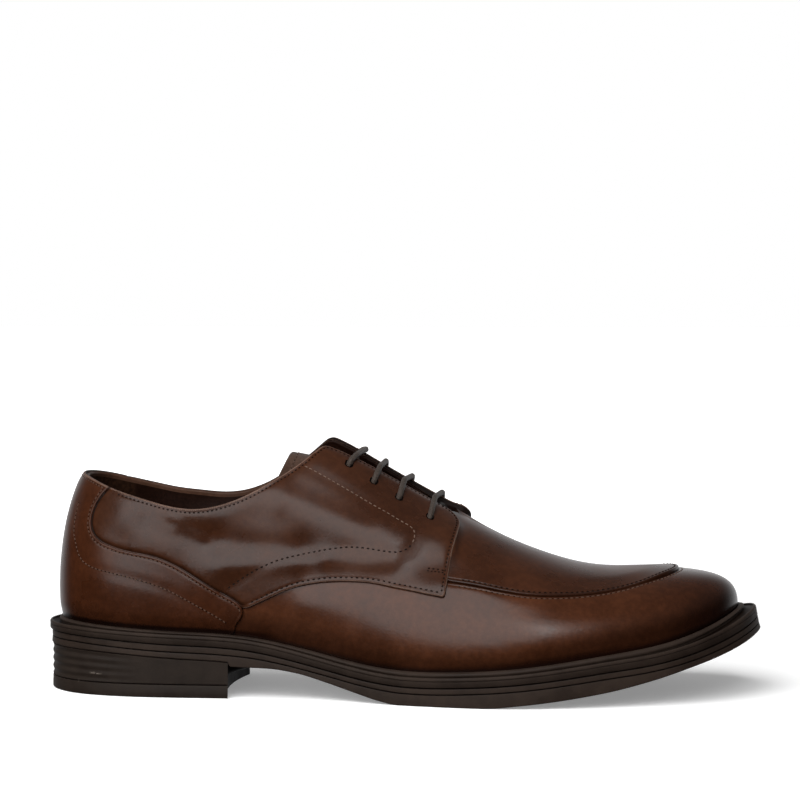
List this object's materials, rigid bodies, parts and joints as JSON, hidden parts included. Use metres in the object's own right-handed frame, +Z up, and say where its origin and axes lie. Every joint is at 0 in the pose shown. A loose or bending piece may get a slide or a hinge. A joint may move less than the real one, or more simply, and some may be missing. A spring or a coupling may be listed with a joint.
{
  "type": "leather shoe",
  "caption": "Low lace-up leather shoe with a raised apron on the toe, stitched side panels, a welted rubber sole and a low heel, made for the right foot and standing empty.",
  "frame": {"origin": "centre of the bounding box's underside, on the floor", "axes": "+X from the heel to the toe, +Y to the medial side, +Z up"},
  "size_m": [0.3062, 0.1028, 0.1076],
  "materials": {
    "leather": "satin brown grain",
    "suede": "matt brown suede",
    "lining": "matt brown",
    "rubber": "matt dark brown",
    "lace": "matt round cord"
  },
  "bodies": {
    "root": {"heel_top_piece": "rubber", "heel_block": "rubber", "outsole": "rubber", "midsole": "rubber", "welt": "rubber", "insole": "lining", "upper": "leather", "tongue": "suede", "heel_counter": "leather", "quarter_lateral": "leather", "quarter_medial": "leather", "apron": "leather", "lace_bar_1": "lace", "lace_bar_2": "lace", "lace_bar_3": "lace", "lace_bar_4": "lace"}
  },
  "joints": []
}
